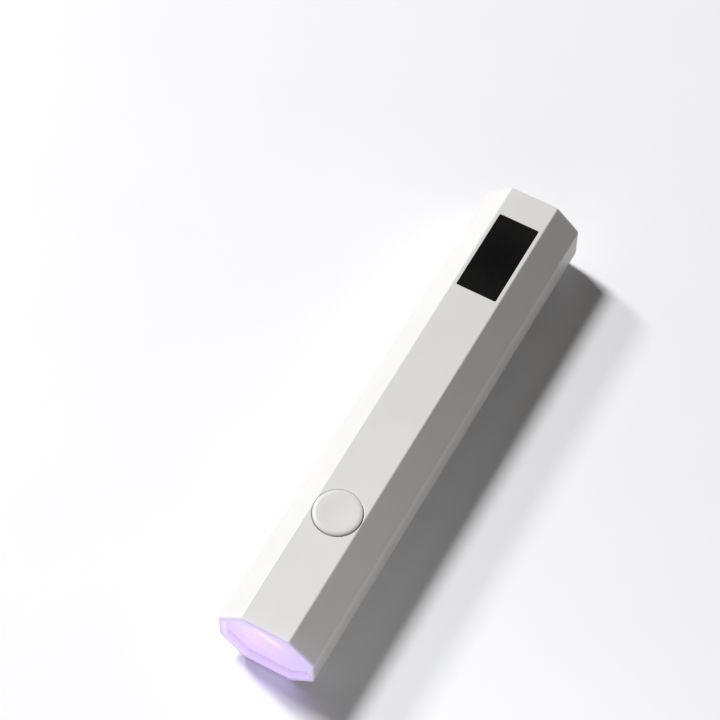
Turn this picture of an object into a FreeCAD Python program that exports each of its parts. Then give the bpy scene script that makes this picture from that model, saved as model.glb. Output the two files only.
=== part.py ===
import FreeCAD, Part
import math
import os

# Handheld UV LED nail lamp: an octagonal wand with a push button, a display window and a lit lens end.
#
# Units are millimetres. The wand lies on its flat bottom face at z = 0 with +Z up. The long axis is X:
# the lens end is at -X and the tail, with its charging socket, at +X. The origin is the middle of the
# bottom of the whole box.

Vec = FreeCAD.Vector

# ---- driving dimensions: housing ----
LENGTH = 128.0
WIDTH = 24.0
HEIGHT = 20.4
CHAMFER = 5.9            # leg of each 45 degree chamfer
WALL = 1.5
LONG_EDGE_R = 0.6        # rounding of the eight long edges
LENS_EDGE_R = 0.5
TAIL_EDGE_R = 1.2

# ---- driving dimensions: gaps ----
SLIP = 0.05              # round every piece that drops into a pocket
SLIDE = 0.2              # between the bore and the pieces that slide into it
HEAD_SLIP = 0.1          # round a screw head or another loose round piece
PAST = 1.0               # how far a cutting shape runs past the face it cuts
NEAR = 0.01              # an edge nearer than this to a plane lies on it

# ---- driving dimensions: lens end ----
RIM_WALL = 1.25          # housing wall where it stands in front of the lens
RECESS = 1.8             # how far the lens sits back inside the rim
LENS_T = 2.0
GASKET_T = 0.3
GASKET_W = 1.4
LENS_EDGE_CUT = 0.15
REFLECTOR_T = 5.6
LED_BOARD_T = 1.6
THERMAL_PAD_T = 0.3
HEAT_SINK_T = 4.4
HEAT_SINK_BASE_T = 1.8
LED_PITCH = 4.6
LED_SIZE = 3.5
LED_BASE_T = 0.8
LED_DOME_R = 1.45
LED_COUNT = 3
LED_SCREW_Z = 5.5        # screws above and below the middle of the LED board
LED_SCREW_L = 3.4
CUP_BASE_W = 13.8        # opening in the reflector's base, over the LEDs
CUP_BASE_H = 5.2
CUP_BASE_LEG = 1.0
PAD_INSET = 1.2          # thermal pad's outline inside the bore
LEAD_SLIP = 0.35         # round a lead where it passes a hole
FIN_SLOTS = 6
FIN_PITCH = 3.0
FIN_SLOT_W = 1.7
LED_LEAD_Y = 4.5
LED_LEAD_RISE = 5.6      # height of the light leads above the wand's middle
LED_LEAD_STUB = 0.4      # straight run behind the heat sink
LED_LEAD_LAND = 2.6      # where the light leads come down on the board, from its lens end
LED_LEAD_END = 5.5       # where they end

# ---- driving dimensions: button and switch ----
BUTTON_FROM_LENS = 32.5
BUTTON_HOLE_R = 5.8
BUTTON_R = 5.68
BUTTON_PROUD = 0.5       # how far the cap stands above the housing
CROWN_W = 1.0            # the cap's top falls off over this width, by this much
CROWN_DROP = 0.38
POST_R = 1.5
FLANGE_L = 16.0
FLANGE_W = 10.4
FLANGE_T = 0.8
SWITCH_SIZE = 6.0
SWITCH_BODY_H = 3.2
SWITCH_COVER_T = 0.3
SWITCH_TOTAL_H = 4.3     # board to the plunger's top
SWITCH_FLOOR_T = 0.6
SWITCH_PIN_T = 0.3
SWITCH_PIN_W = 0.7
SWITCH_PIN_Y = 2.25
SWITCH_PIN_RISE = 1.6    # how far the pins run up the switch body
DOME_R = 2.2
DOME_H = 0.5
DOME_T = 0.1
PLUNGER_R = 1.7
PLUNGER_FLANGE_R = 2.3
PLUNGER_STEM_R = 1.2
PLUNGER_FLANGE_T = 0.8
PLUNGER_PLAY = 0.02      # between the plunger's flange and the cover at rest

# ---- driving dimensions: display ----
WINDOW_L = 21.9
WINDOW_W = 10.2
WINDOW_T = 0.9
WINDOW_CORNER_R = 0.4
WINDOW_EDGE_R = 0.08
WINDOW_FROM_TAIL = 8.5
WINDOW_BELOW_FACE = 0.04
ADHESIVE_T = 0.12
LEDGE = 1.0              # width of the ledge that carries the window
DISPLAY_L = 22.5
DISPLAY_W = 10.0
DISPLAY_GAP = 0.1        # between the display and the housing's inner face
DISPLAY_PIN_PITCH = 2.54
DISPLAY_PIN_ROW = 3.81
DISPLAY_PINS_PER_ROW = 6
PIN_R = 0.25
PIN_BELOW = 1.2          # how far pins stand out under the board

# ---- driving dimensions: board, charging socket, battery ----
BOARD_T = 1.0
BOARD_W = 19.0
USB_W = 8.94
USB_H = 3.26
USB_L = 7.35
USB_SHELL_T = 0.3
USB_BASE_L = 0.7         # the rest of the shell's length is open for the plug
TONGUE_W = 6.7
TONGUE_T = 0.7
TONGUE_BEHIND_MOUTH = 0.9
USB_HOLE_GAP = 0.15      # between the shell and the hole in the cap
USB_INSET = 0.5          # socket mouth behind the tail face of the cap
CELL_L = 50.0
CELL_W = 15.2
CELL_T = 7.0
CELL_X0 = -16.0
CELL_Z0 = 4.2
TAB_Z = 7.2
CELL_EDGE_R = 1.6
TAB_T = 0.2
TAB_L = 0.5
TAB_Y0 = 2.3
TAB_Y1 = 4.7
LEAD_BELOW_TAB = 0.2
BATTERY_LEAD_STUB = 1.6  # straight run at both ends of a battery lead
BEND_SHARE = 0.45        # share of a run that a lead's bend may take up
PROTECTION_T = 0.8
PROTECTION_HALF_W = 5.4
PROTECTION_BELOW = 2.0   # reach below and above the tabs
PROTECTION_ABOVE = 2.4
BATTERY_PAD_INSET = 4.0
BATTERY_PAD_HALF_W = 5.5
HEADER_FROM_CELL = 9.4   # the battery header starts this far behind the cell
HEADER_L = 3.2
PLUG_L = 2.6
HEADER_HALF_W = 2.6
PLUG_HALF_W = 2.2
CONNECTOR_H = 3.0
PLUG_IN = 0.3            # plug's faces inside the header's
WIRE_R = 0.45
BATTERY_LEAD_Y = 0.9

# ---- driving dimensions: chassis ----
FLOOR_HALF_W = 5.0
FLOOR_T = 1.0
RAIL_Y0 = 8.5
RAIL_Y1 = 10.2
RAIL_H = 4.0
BULKHEAD_T = 1.4
BULKHEAD_GAP_HALF_W = 5.6
BULKHEAD_SILL_H = 2.3    # wall left standing under a bulkhead's gap
BULKHEAD_AHEAD = 2.0     # bulkhead in front of the cell, and the one behind it
BULKHEAD_BEHIND = 1.6
RIB_T = 1.2
RIB_FROM_CELL = (10.0, 25.0, 40.0)
BOARD_FROM_CHASSIS = 1.2 # board's end behind the chassis's
SCREW_FROM_BOARD_END = 3.0
SCREW_BEHIND_CELL = 4.6
BOARD_SCREW_Y = 8.0
BOARD_SCREW_L = 4.0
BOARD_BOSS_R = 1.6
CAP_BOSS_R = 1.55
CAP_BOSS_L = 7.9
CAP_BOSS_WEB = 1.4       # closed end of a cap screw's hole

# ---- driving dimensions: tail and fasteners ----
CAP_T = 2.2
CAP_INSET = 0.2          # cap face behind the housing's tail edge
CAP_SKIRT_L = 2.4
CAP_SKIRT_T = 1.0
CAP_SCREW_SINK = 1.0     # depth of the pocket for a cap screw's head
CAP_SCREW_L = 5.4
SCREW_R = 0.8
SCREW_HEAD_R = 1.4
SCREW_HEAD_H = 0.9
SCREW_HEAD_EDGE_R = 0.25
DRIVE_ACROSS = 1.5       # cross recess in a screw head
DRIVE_DEPTH = 0.4
DRIVE_BAR_SHARE = 0.2    # width of the cross's bars as a share of their length
CAP_SCREW_Y = 7.6

# ---- driving dimensions: pieces on the main board ----
CHIPS = {
    # name: (x, y, body length, body width, body height, leads per side, on top of the board)
    "micro_controller": (12.0, 0.0, 9.9, 3.9, 1.5, 8, True),
    "charge_chip": (50.0, 0.0, 4.9, 3.9, 1.5, 4, False),
    "driver_chip": (-10.0, 0.0, 4.9, 3.9, 1.5, 4, True),
}
CHIP_STAND_OFF = 0.1
CHIP_LEAD_PITCH = 1.27
CHIP_LEAD_W = 0.42
CHIP_LEAD_L = 0.7
CHIP_LEAD_H = 0.9
INDUCTOR_X = -19.5
INDUCTOR_W = 6.0
INDUCTOR_H = 2.8
INDUCTOR_CORNER_R = 1.2
CAN_PLACES = (-2.6, 2.4) # along the wand
CAN_R = 2.0
CAN_H = 5.2
CAN_EDGE_R = 0.3
CHIP_CAPACITOR_SIZE = (2.0, 1.25, 1.0)
CHIP_CAPACITOR_PLACES = ((-24.0, 5.0), (-13.0, 5.2), (-8.0, 5.2), (8.0, 5.0), (16.0, 5.0), (27.0, 4.0))
CHIP_RESISTOR_SIZE = (1.6, 0.8, 0.45)
CHIP_RESISTOR_PLACES = ((-24.0, -5.0), (-14.0, -5.0), (-7.0, -5.0), (7.0, -5.0), (12.0, -5.0),
                        (17.0, -5.0), (22.0, -3.0), (22.0, 0.0), (22.0, 3.0), (27.0, -4.0))

# ---- places worked out from the dimensions above ----
LENS_END_X = -LENGTH / 2
TAIL_X = LENGTH / 2
MID_Z = HEIGHT / 2
LENS_X0 = LENS_END_X + RECESS
LENS_X1 = LENS_X0 + LENS_T
LEDGE_X = LENS_X1 + GASKET_T
REFLECTOR_X1 = LEDGE_X + REFLECTOR_T
LED_BOARD_X1 = REFLECTOR_X1 + LED_BOARD_T
PAD_X1 = LED_BOARD_X1 + THERMAL_PAD_T
HEAT_SINK_X1 = PAD_X1 + HEAT_SINK_T
LED_LEAD_Z = MID_Z + LED_LEAD_RISE
BUTTON_X = LENS_END_X + BUTTON_FROM_LENS
FLANGE_TOP_Z = HEIGHT - WALL - SLIP
WINDOW_X1 = TAIL_X - WINDOW_FROM_TAIL
WINDOW_X0 = WINDOW_X1 - WINDOW_L
WINDOW_MID_X = (WINDOW_X0 + WINDOW_X1) / 2
WINDOW_TOP_Z = HEIGHT - WINDOW_BELOW_FACE
WINDOW_Z0 = WINDOW_TOP_Z - WINDOW_T
LEDGE_Z = WINDOW_Z0 - ADHESIVE_T
CAP_X1 = TAIL_X - CAP_INSET
CAP_X0 = CAP_X1 - CAP_T
USB_X1 = CAP_X1 - USB_INSET
USB_X0 = USB_X1 - USB_L
BOARD_Z0 = MID_Z + USB_H / 2
BOARD_Z1 = BOARD_Z0 + BOARD_T
CHASSIS_X0 = HEAT_SINK_X1 + HEAD_SLIP
CHASSIS_X1 = CAP_X0 - HEAD_SLIP
BOARD_X0 = CHASSIS_X0 + BOARD_FROM_CHASSIS
BOARD_X1 = CAP_X0 - CAP_SKIRT_L - SLIDE
CELL_X1 = CELL_X0 + CELL_L
CELL_Z1 = CELL_Z0 + CELL_T
PROTECTION_X0 = CELL_X1 + TAB_L
PROTECTION_X1 = PROTECTION_X0 + PROTECTION_T
HEADER_X0 = CELL_X1 + HEADER_FROM_CELL
CAP_BOSS_X0 = CHASSIS_X1 - CAP_BOSS_L
RAIL_Z0 = BOARD_Z0 - RAIL_H
FLOOR_Z0 = WALL + HEAD_SLIP
SCREW_STATIONS = (BOARD_X0 + SCREW_FROM_BOARD_END, CELL_X1 + SCREW_BEHIND_CELL)
BOARD_SCREWS = [(x, side * BOARD_SCREW_Y) for x in SCREW_STATIONS for side in (-1, 1)]


# ---- helpers ----
def box(x0, x1, y0, y1, z0, z1):
    return Part.makeBox(x1 - x0, y1 - y0, z1 - z0, Vec(x0, y0, z0))


def centred_box(x, y, z0, length, width, height):
    return box(x - length / 2, x + length / 2, y - width / 2, y + width / 2, z0, z0 + height)


def rod_x(radius, x0, x1, y, z):
    return Part.makeCylinder(radius, x1 - x0, Vec(x0, y, z), Vec(1, 0, 0))


def rod_z(radius, x, y, z0, z1):
    return Part.makeCylinder(radius, z1 - z0, Vec(x, y, z0), Vec(0, 0, 1))


def octagon_wire(width, height, leg, x):
    """Closed octagon across the wand at x, centred on y = 0 and z = MID_Z."""
    half_w = width / 2
    half_h = height / 2
    corners = [(half_w, half_h - leg), (half_w - leg, half_h)]
    upper = corners + [(-y, z) for y, z in reversed(corners)]
    outline = upper + [(-y, -z) for y, z in upper]
    points = [Vec(x, y, MID_Z + z) for y, z in outline]
    return Part.makePolygon(points + points[:1])


def section_wire(inset, x):
    """The housing's outline drawn in by a wall thickness."""
    leg = CHAMFER - inset * (2 - math.sqrt(2))
    return octagon_wire(WIDTH - 2 * inset, HEIGHT - 2 * inset, leg, x)


def prism(inset, x0, x1):
    return Part.Face(section_wire(inset, x0)).extrude(Vec(x1 - x0, 0, 0))


def edges_along(shape, axis):
    """The straight edges that run along an axis."""
    return [e for e in shape.Edges if abs(e.tangentAt(e.FirstParameter).dot(axis)) > 1 - NEAR]


def slab(x0, x1, half_w, z0, z1, corner_r):
    """Flat plate with rounded vertical corners."""
    plate = box(x0, x1, -half_w, half_w, z0, z1)
    return plate.makeFillet(corner_r, edges_along(plate, Vec(0, 0, 1)))


def stadium(width, height, x0, x1):
    """Flat-oval bar along X, centred on the tail face."""
    radius = height / 2
    half = width / 2 - radius
    core = box(x0, x1, -half, half, MID_Z - radius, MID_Z + radius)
    ends = [rod_x(radius, x0, x1, side * half, MID_Z) for side in (-1, 1)]
    return core.fuse(ends).removeSplitter()


def group(solids):
    return Part.makeCompound(solids)


def cross_slot(across, depth):
    """Two crossed bars that cut the drive recess of a screw standing on z = 0."""
    bar_w = across * DRIVE_BAR_SHARE
    bar = Part.makeBox(across, bar_w, depth, Vec(-across / 2, -bar_w / 2, 0))
    turned = bar.copy()
    turned.rotate(Vec(0, 0, 0), Vec(0, 0, 1), 90)
    return bar.fuse(turned)


def rims_above(shape, z):
    """The full circles of a turned shape that lie above z."""
    return [e for e in shape.Edges if e.BoundBox.ZMin > z and len(e.Vertexes) == 1]


def screw(shank_l):
    """Pan head screw along +Z: the shank runs down from z = 0 and the head stands on z = 0."""
    head = Part.makeCylinder(SCREW_HEAD_R, SCREW_HEAD_H)
    head = head.makeFillet(SCREW_HEAD_EDGE_R, rims_above(head, SCREW_HEAD_H / 2))
    shank = Part.makeCylinder(SCREW_R, shank_l, Vec(0, 0, -shank_l))
    recess = cross_slot(DRIVE_ACROSS, DRIVE_DEPTH + PAST)
    recess.translate(Vec(0, 0, SCREW_HEAD_H - DRIVE_DEPTH))
    return head.fuse(shank).cut(recess)


def screw_along(direction, shank_l, x, y, z):
    piece = screw(shank_l)
    piece.Placement = FreeCAD.Placement(Vec(x, y, z), FreeCAD.Rotation(Vec(0, 0, 1), direction))
    return piece


def lead(points, radius):
    """Insulated wire along straight runs joined by tangent arcs."""
    corners = [Vec(*p) for p in points]
    edges = []
    start = corners[0]
    for before, corner, after in zip(corners, corners[1:], corners[2:]):
        back = (before - corner).normalize()
        ahead = (after - corner).normalize()
        reach = BEND_SHARE * min((before - corner).Length, (after - corner).Length)
        half_turn = (math.pi - back.getAngle(ahead)) / 2
        bend_r = reach / math.tan(half_turn)
        inside = (back + ahead).normalize()
        centre = corner + inside * (bend_r / math.cos(half_turn))
        arc_start = corner + back * reach
        arc_end = corner + ahead * reach
        edges.append(Part.LineSegment(start, arc_start).toShape())
        edges.append(Part.Arc(arc_start, centre - inside * bend_r, arc_end).toShape())
        start = arc_end
    edges.append(Part.LineSegment(start, corners[-1]).toShape())
    path = Part.Wire(edges)
    along = (corners[1] - corners[0]).normalize()
    ring = Part.Wire([Part.makeCircle(radius, corners[0], along)])
    tube = path.makePipeShell([ring], True, True)
    share = tube.Volume / (math.pi * radius ** 2 * path.Length)
    print("lead of", round(path.Length, 2), "mm, volume over section times length", round(share, 4))
    return tube


# ---- housing, tail cap, window ----
def make_body_sleeve():
    shell = prism(0, LENS_END_X, TAIL_X)
    shell = shell.makeFillet(LONG_EDGE_R, edges_along(shell, Vec(1, 0, 0)))
    tail_edges = [e for e in shell.Edges if e.BoundBox.XMin > TAIL_X - NEAR]
    shell = shell.makeFillet(TAIL_EDGE_R, tail_edges)
    lens_edges = [e for e in shell.Edges if e.BoundBox.XMax < LENS_END_X + NEAR]
    shell = shell.makeFillet(LENS_EDGE_R, lens_edges)
    bore = prism(WALL, LEDGE_X, TAIL_X + PAST)
    mouth = prism(RIM_WALL, LENS_END_X - PAST, LEDGE_X)
    inside_z = HEIGHT - WALL - PAST
    button_hole = rod_z(BUTTON_HOLE_R, BUTTON_X, 0, inside_z, HEIGHT + PAST)
    pocket = slab(WINDOW_X0 - SLIP, WINDOW_X1 + SLIP, WINDOW_W / 2 + SLIP, LEDGE_Z, HEIGHT + PAST,
                  WINDOW_CORNER_R)
    sight = slab(WINDOW_X0 + LEDGE, WINDOW_X1 - LEDGE, WINDOW_W / 2 - LEDGE, inside_z, HEIGHT,
                 WINDOW_CORNER_R)
    return shell.cut([bore, mouth, button_hole, pocket, sight])


def make_rear_cap():
    plate = prism(WALL + SLIP, CAP_X0, CAP_X1)
    skirt = prism(WALL + SLIP, CAP_X0 - CAP_SKIRT_L, CAP_X0)
    skirt = skirt.cut(prism(WALL + SLIP + CAP_SKIRT_T, CAP_X0 - CAP_SKIRT_L, CAP_X0))
    cap = plate.fuse(skirt).removeSplitter()
    holes = [stadium(USB_W + 2 * USB_HOLE_GAP, USB_H + 2 * USB_HOLE_GAP, CAP_X0 - PAST, CAP_X1 + PAST)]
    for side in (-1, 1):
        y = side * CAP_SCREW_Y
        holes.append(rod_x(SCREW_R + SLIP, CAP_X0 - PAST, CAP_X1 + PAST, y, MID_Z))
        holes.append(rod_x(SCREW_HEAD_R + HEAD_SLIP, CAP_X1 - CAP_SCREW_SINK, CAP_X1 + PAST, y, MID_Z))
    return cap.cut(holes)


def make_cap_screws():
    seat_x = CAP_X1 - CAP_SCREW_SINK
    outward = Vec(1, 0, 0)
    return group([screw_along(outward, CAP_SCREW_L, seat_x, side * CAP_SCREW_Y, MID_Z) for side in (-1, 1)])


def make_display_window():
    window = slab(WINDOW_X0, WINDOW_X1, WINDOW_W / 2, WINDOW_Z0, WINDOW_TOP_Z, WINDOW_CORNER_R)
    top = [e for e in window.Edges if e.BoundBox.ZMin > WINDOW_TOP_Z - NEAR]
    return window.makeFillet(WINDOW_EDGE_R, top)


def make_window_adhesive():
    frame = slab(WINDOW_X0, WINDOW_X1, WINDOW_W / 2, LEDGE_Z, WINDOW_Z0, WINDOW_CORNER_R)
    inner = slab(WINDOW_X0 + LEDGE, WINDOW_X1 - LEDGE, WINDOW_W / 2 - LEDGE, LEDGE_Z, WINDOW_Z0,
                 WINDOW_CORNER_R)
    return frame.cut(inner)


# ---- light engine ----
def make_front_lens():
    plate = prism(RIM_WALL + SLIP, LENS_X0, LENS_X1)
    front = [e for e in plate.Edges if e.BoundBox.XMax < LENS_X0 + NEAR]
    return plate.makeChamfer(LENS_EDGE_CUT, front)


def make_lens_gasket():
    ring = prism(RIM_WALL + SLIP, LENS_X1, LEDGE_X)
    return ring.cut(prism(RIM_WALL + SLIP + GASKET_W, LENS_X1, LEDGE_X))


def make_reflector():
    block = prism(WALL + SLIP, LEDGE_X, REFLECTOR_X1)
    mouth = section_wire(RIM_WALL + SLIP + GASKET_W, LEDGE_X)
    base = octagon_wire(CUP_BASE_W, CUP_BASE_H, CUP_BASE_LEG, REFLECTOR_X1)
    cup = Part.makeLoft([mouth, base], True)
    pocket_x0 = REFLECTOR_X1 - SCREW_HEAD_H - HEAD_SLIP
    return block.cut([cup] + led_screw_holes(SCREW_HEAD_R + HEAD_SLIP, pocket_x0, REFLECTOR_X1))


def led_places():
    return [(index - (LED_COUNT - 1) / 2) * LED_PITCH for index in range(LED_COUNT)]


def make_led_packages():
    half = LED_SIZE / 2
    x1 = REFLECTOR_X1
    return group([box(x1 - LED_BASE_T, x1, y - half, y + half, MID_Z - half, MID_Z + half)
                  for y in led_places()])


def make_led_domes():
    domes = []
    base_x = REFLECTOR_X1 - LED_BASE_T
    for y in led_places():
        ball = Part.makeSphere(LED_DOME_R, Vec(base_x, y, MID_Z))
        domes.append(ball.cut(rod_x(LED_SIZE, base_x, base_x + LED_SIZE, y, MID_Z)))
    return group(domes)


def led_screw_holes(radius, x0, x1):
    return [rod_x(radius, x0, x1, 0, MID_Z + side * LED_SCREW_Z) for side in (-1, 1)]


def led_lead_holes(x0, x1):
    return [rod_x(WIRE_R + LEAD_SLIP, x0, x1, side * LED_LEAD_Y, LED_LEAD_Z) for side in (-1, 1)]


def make_led_board():
    board = prism(WALL + SLIDE, REFLECTOR_X1, LED_BOARD_X1)
    return board.cut(led_screw_holes(SCREW_R + SLIP, REFLECTOR_X1, LED_BOARD_X1))


def make_thermal_pad():
    pad = prism(WALL + PAD_INSET, LED_BOARD_X1, PAD_X1)
    screw_holes = led_screw_holes(SCREW_R + SLIDE, LED_BOARD_X1, PAD_X1)
    return pad.cut(screw_holes + led_lead_holes(LED_BOARD_X1, PAD_X1))


def make_heat_sink():
    block = prism(WALL + SLIDE, PAD_X1, HEAT_SINK_X1)
    slot_x0 = PAD_X1 + HEAT_SINK_BASE_T
    slots = []
    for index in range(FIN_SLOTS):
        y0 = (index - (FIN_SLOTS - 1) / 2) * FIN_PITCH - FIN_SLOT_W / 2
        slots.append(box(slot_x0, HEAT_SINK_X1 + PAST, y0, y0 + FIN_SLOT_W, 0, HEIGHT))
    holes = led_screw_holes(SCREW_R, PAD_X1, HEAT_SINK_X1) + led_lead_holes(PAD_X1, HEAT_SINK_X1)
    return block.cut(slots + holes)


def make_led_board_screws():
    towards_lens = Vec(-1, 0, 0)
    return group([screw_along(towards_lens, LED_SCREW_L, REFLECTOR_X1, 0, MID_Z + side * LED_SCREW_Z)
                  for side in (-1, 1)])


# ---- button and switch ----
def make_crowned_disc(z0, z1):
    """Disc round the button's axis, whose flat top bends down towards its rim."""
    crown_r = (CROWN_W ** 2 + CROWN_DROP ** 2) / (2 * CROWN_DROP)
    half_turn = math.asin(CROWN_W / crown_r) / 2
    flat_x = BUTTON_X + BUTTON_R - CROWN_W
    rim_x = BUTTON_X + BUTTON_R
    on_axis = [Vec(BUTTON_X, 0, z1), Vec(BUTTON_X, 0, z0)]
    side = [Vec(rim_x, 0, z0), Vec(rim_x, 0, z1 - CROWN_DROP)]
    flat_end = Vec(flat_x, 0, z1)
    bend = Vec(flat_x + crown_r * math.sin(half_turn), 0, z1 - crown_r * (1 - math.cos(half_turn)))
    crown = Part.Arc(side[1], bend, flat_end).toShape()
    outline = Part.Wire([Part.makePolygon([flat_end] + on_axis + side), crown])
    return Part.Face(outline).revolve(Vec(BUTTON_X, 0, 0), Vec(0, 0, 1), 360)


def make_power_button():
    flange_z0 = FLANGE_TOP_Z - FLANGE_T
    cap = make_crowned_disc(flange_z0, HEIGHT + BUTTON_PROUD)
    flange = centred_box(BUTTON_X, 0, flange_z0, FLANGE_L, FLANGE_W, FLANGE_T)
    post = rod_z(POST_R, BUTTON_X, 0, BOARD_Z1 + SWITCH_TOTAL_H, flange_z0)
    return cap.fuse([flange, post]).removeSplitter()


def make_switch_body():
    body = centred_box(BUTTON_X, 0, BOARD_Z1, SWITCH_SIZE, SWITCH_SIZE, SWITCH_BODY_H)
    well_r = PLUNGER_FLANGE_R + HEAD_SLIP
    return body.cut(rod_z(well_r, BUTTON_X, 0, BOARD_Z1 + SWITCH_FLOOR_T, BOARD_Z1 + SWITCH_BODY_H))


def make_switch_cover():
    z0 = BOARD_Z1 + SWITCH_BODY_H
    cover = centred_box(BUTTON_X, 0, z0, SWITCH_SIZE, SWITCH_SIZE, SWITCH_COVER_T)
    return cover.cut(rod_z(PLUNGER_R + SLIP, BUTTON_X, 0, z0, z0 + SWITCH_COVER_T))


def make_switch_plunger():
    dome_top = BOARD_Z1 + SWITCH_FLOOR_T + DOME_H
    flange_z1 = BOARD_Z1 + SWITCH_BODY_H - PLUNGER_PLAY
    flange_z0 = flange_z1 - PLUNGER_FLANGE_T
    stem = rod_z(PLUNGER_STEM_R, BUTTON_X, 0, dome_top, flange_z0)
    flange = rod_z(PLUNGER_FLANGE_R, BUTTON_X, 0, flange_z0, flange_z1)
    top = rod_z(PLUNGER_R, BUTTON_X, 0, flange_z1, BOARD_Z1 + SWITCH_TOTAL_H)
    return top.fuse([flange, stem]).removeSplitter()


def make_switch_dome():
    base_z = BOARD_Z1 + SWITCH_FLOOR_T
    ball_r = (DOME_R ** 2 + DOME_H ** 2) / (2 * DOME_H)
    centre = Vec(BUTTON_X, 0, base_z + DOME_H - ball_r)
    skin = Part.makeSphere(ball_r, centre).cut(Part.makeSphere(ball_r - DOME_T, centre))
    return skin.common(rod_z(DOME_R, BUTTON_X, 0, base_z, base_z + DOME_H + PAST))


def switch_pin_places():
    reach = SWITCH_SIZE / 2 + SWITCH_PIN_T / 2
    return [(BUTTON_X + sx * reach, sy * SWITCH_PIN_Y) for sx in (-1, 1) for sy in (-1, 1)]


def make_switch_pins():
    z0 = BOARD_Z0 - PIN_BELOW
    height = PIN_BELOW + BOARD_T + SWITCH_PIN_RISE
    return group([centred_box(x, y, z0, SWITCH_PIN_T, SWITCH_PIN_W, height) for x, y in switch_pin_places()])


# ---- display ----
def make_display_module():
    top_z = HEIGHT - WALL - DISPLAY_GAP
    return box(WINDOW_MID_X - DISPLAY_L / 2, WINDOW_MID_X + DISPLAY_L / 2, -DISPLAY_W / 2, DISPLAY_W / 2,
               BOARD_Z1, top_z)


def display_pin_places():
    middle = (DISPLAY_PINS_PER_ROW - 1) / 2
    return [(WINDOW_MID_X + (index - middle) * DISPLAY_PIN_PITCH, side * DISPLAY_PIN_ROW)
            for index in range(DISPLAY_PINS_PER_ROW) for side in (-1, 1)]


def make_display_pins():
    return group([rod_z(PIN_R, x, y, BOARD_Z0 - PIN_BELOW, BOARD_Z1) for x, y in display_pin_places()])


# ---- chassis and main board ----
def both_sides(y0, y1):
    """The same stretch of Y on the right and on the left of the wand."""
    return [(-y1, -y0), (y0, y1)]


def make_bulkheads(outline):
    """Cross walls, open in the middle for the cell's end, the leads and the socket."""
    plates = []
    gap_z0 = FLOOR_Z0 + BULKHEAD_SILL_H
    for x in (CHASSIS_X0, CELL_X0 - BULKHEAD_AHEAD, CELL_X1 + BULKHEAD_BEHIND, CAP_BOSS_X0):
        x1 = x + BULKHEAD_T
        plate = box(x, x1, -WIDTH / 2, WIDTH / 2, FLOOR_Z0, BOARD_Z0).common(outline)
        plates.append(plate.cut(box(x, x1, -BULKHEAD_GAP_HALF_W, BULKHEAD_GAP_HALF_W, gap_z0, HEIGHT)))
    return plates


def make_cell_ribs(outline):
    """Saddles under the cell, with an arm up each side of it to the rail."""
    ribs = []
    for offset in RIB_FROM_CELL:
        x = CELL_X0 + offset
        rib = box(x, x + RIB_T, -WIDTH / 2, WIDTH / 2, FLOOR_Z0, CELL_Z0)
        arms = [box(x, x + RIB_T, y0, y1, FLOOR_Z0, MID_Z)
                for y0, y1 in both_sides(CELL_W / 2 + HEAD_SLIP, WIDTH / 2)]
        ribs.append(rib.fuse(arms).common(outline))
    return ribs


def make_chassis():
    floor = box(CHASSIS_X0, CHASSIS_X1, -FLOOR_HALF_W, FLOOR_HALF_W, FLOOR_Z0, FLOOR_Z0 + FLOOR_T)
    rails = [box(CHASSIS_X0, CHASSIS_X1, y0, y1, RAIL_Z0, BOARD_Z0)
             for y0, y1 in both_sides(RAIL_Y0, RAIL_Y1)]
    outline = prism(WALL + SLIDE, CHASSIS_X0, CHASSIS_X1)
    bosses = [rod_z(BOARD_BOSS_R, x, y, RAIL_Z0, BOARD_Z0) for x, y in BOARD_SCREWS]
    bosses += [rod_x(CAP_BOSS_R, CAP_BOSS_X0, CHASSIS_X1, side * CAP_SCREW_Y, MID_Z) for side in (-1, 1)]
    bosses += [box(CAP_BOSS_X0, CHASSIS_X1, y0, y1, MID_Z - CAP_BOSS_R, MID_Z + CAP_BOSS_R)
               for y0, y1 in both_sides(CAP_SCREW_Y, RAIL_Y1)]
    frame = floor.fuse(rails + make_bulkheads(outline) + make_cell_ribs(outline) + bosses).removeSplitter()
    skirt_x = CAP_X0 - CAP_SKIRT_L - HEAD_SLIP
    room = prism(WALL + SLIP + CAP_SKIRT_T + HEAD_SLIP, skirt_x, CHASSIS_X1 + PAST)
    tail = box(skirt_x, CHASSIS_X1 + PAST, -WIDTH / 2, WIDTH / 2, 0, HEIGHT).cut(room)
    holes = [rod_z(SCREW_R, x, y, RAIL_Z0, BOARD_Z0) for x, y in BOARD_SCREWS]
    hole_x0 = CAP_BOSS_X0 + CAP_BOSS_WEB
    holes += [rod_x(SCREW_R, hole_x0, CHASSIS_X1, side * CAP_SCREW_Y, MID_Z) for side in (-1, 1)]
    return frame.cut([tail] + holes)


def make_main_board():
    board = box(BOARD_X0, BOARD_X1, -BOARD_W / 2, BOARD_W / 2, BOARD_Z0, BOARD_Z1)
    holes = [rod_z(SCREW_R + SLIP, x, y, BOARD_Z0, BOARD_Z1) for x, y in BOARD_SCREWS]
    holes += [rod_z(PIN_R + SLIP, x, y, BOARD_Z0, BOARD_Z1) for x, y in display_pin_places()]
    holes += [centred_box(x, y, BOARD_Z0, SWITCH_PIN_T + 2 * SLIP, SWITCH_PIN_W + 2 * SLIP, BOARD_T)
              for x, y in switch_pin_places()]
    return board.cut(holes)


def make_board_screws():
    return group([screw_along(Vec(0, 0, 1), BOARD_SCREW_L, x, y, BOARD_Z1) for x, y in BOARD_SCREWS])


def chip_z0(height, on_top):
    return BOARD_Z1 + CHIP_STAND_OFF if on_top else BOARD_Z0 - CHIP_STAND_OFF - height


def make_chip(name):
    x, y, length, width, height, _, on_top = CHIPS[name]
    return centred_box(x, y, chip_z0(height, on_top), length, width, height)


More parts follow.
